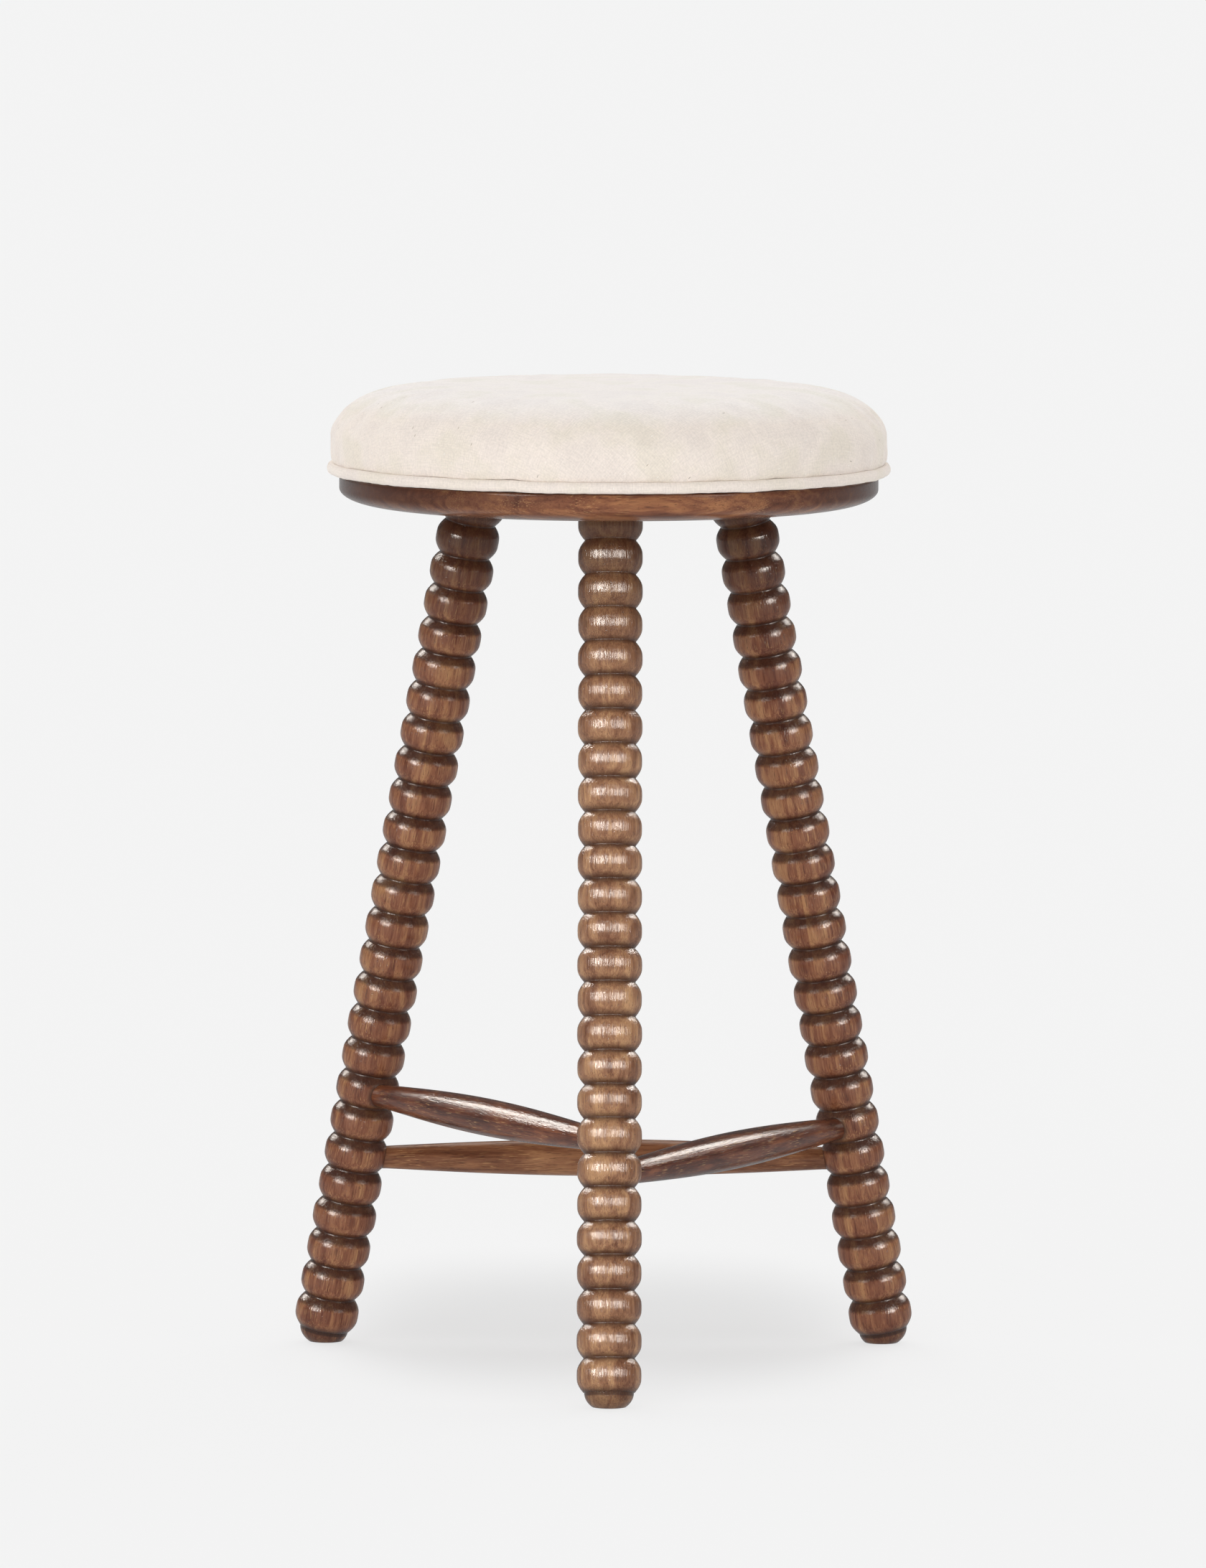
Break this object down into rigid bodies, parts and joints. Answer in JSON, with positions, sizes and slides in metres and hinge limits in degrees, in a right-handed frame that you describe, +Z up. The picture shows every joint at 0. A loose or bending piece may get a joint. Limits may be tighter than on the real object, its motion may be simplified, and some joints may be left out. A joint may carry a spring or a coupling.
{
  "type": "counter stool",
  "caption": "Backless counter stool: bobbin-turned splayed legs, staggered spindle stretchers and a round wooden base under a crowned linen pad with a welt.",
  "frame": {"origin": "on the floor, under the middle of the stool's outline; the seat's own vertical axis stands 24.8 mm behind it, towards +Y, because the splayed front leg reaches further out than the seat does behind", "axes": "+Z up, -Y towards the front leg, +X to the right of someone looking at the front leg"},
  "size_m": [0.4194, 0.4276, 0.66],
  "materials": {
    "lacquered_wood": "walnut-brown stained mango or similar hardwood under satin lacquer",
    "bare_wood": "unfinished hardwood",
    "plywood": "sanded birch-type plywood",
    "glide_plastic": "moulded nylon",
    "fastener_steel": "zinc-plated",
    "foam": "open-cell polyurethane foam",
    "fibre_wadding": "polyester wadding",
    "linen": "off-white plain-weave linen",
    "cotton_cord": "twisted cotton"
  },
  "bodies": {
    "root": {"seat_base": "lacquered_wood", "leg_front": "lacquered_wood", "leg_rear_left": "lacquered_wood", "leg_rear_right": "lacquered_wood", "stretcher_left": "lacquered_wood", "stretcher_right": "lacquered_wood", "stretcher_rear": "lacquered_wood", "tenon_wedges": "bare_wood", "glide_front": "glide_plastic", "glide_rear_left": "glide_plastic", "glide_rear_right": "glide_plastic", "glide_nails": "fastener_steel", "seat_board": "plywood", "foam_pad": "foam", "batting": "fibre_wadding", "seat_cover": "linen", "welt_cover": "linen", "welt_cord": "cotton_cord", "cover_staples": "fastener_steel", "welt_staples": "fastener_steel", "pad_screws": "fastener_steel", "pad_screw_washers": "fastener_steel"}
  },
  "joints": []
}
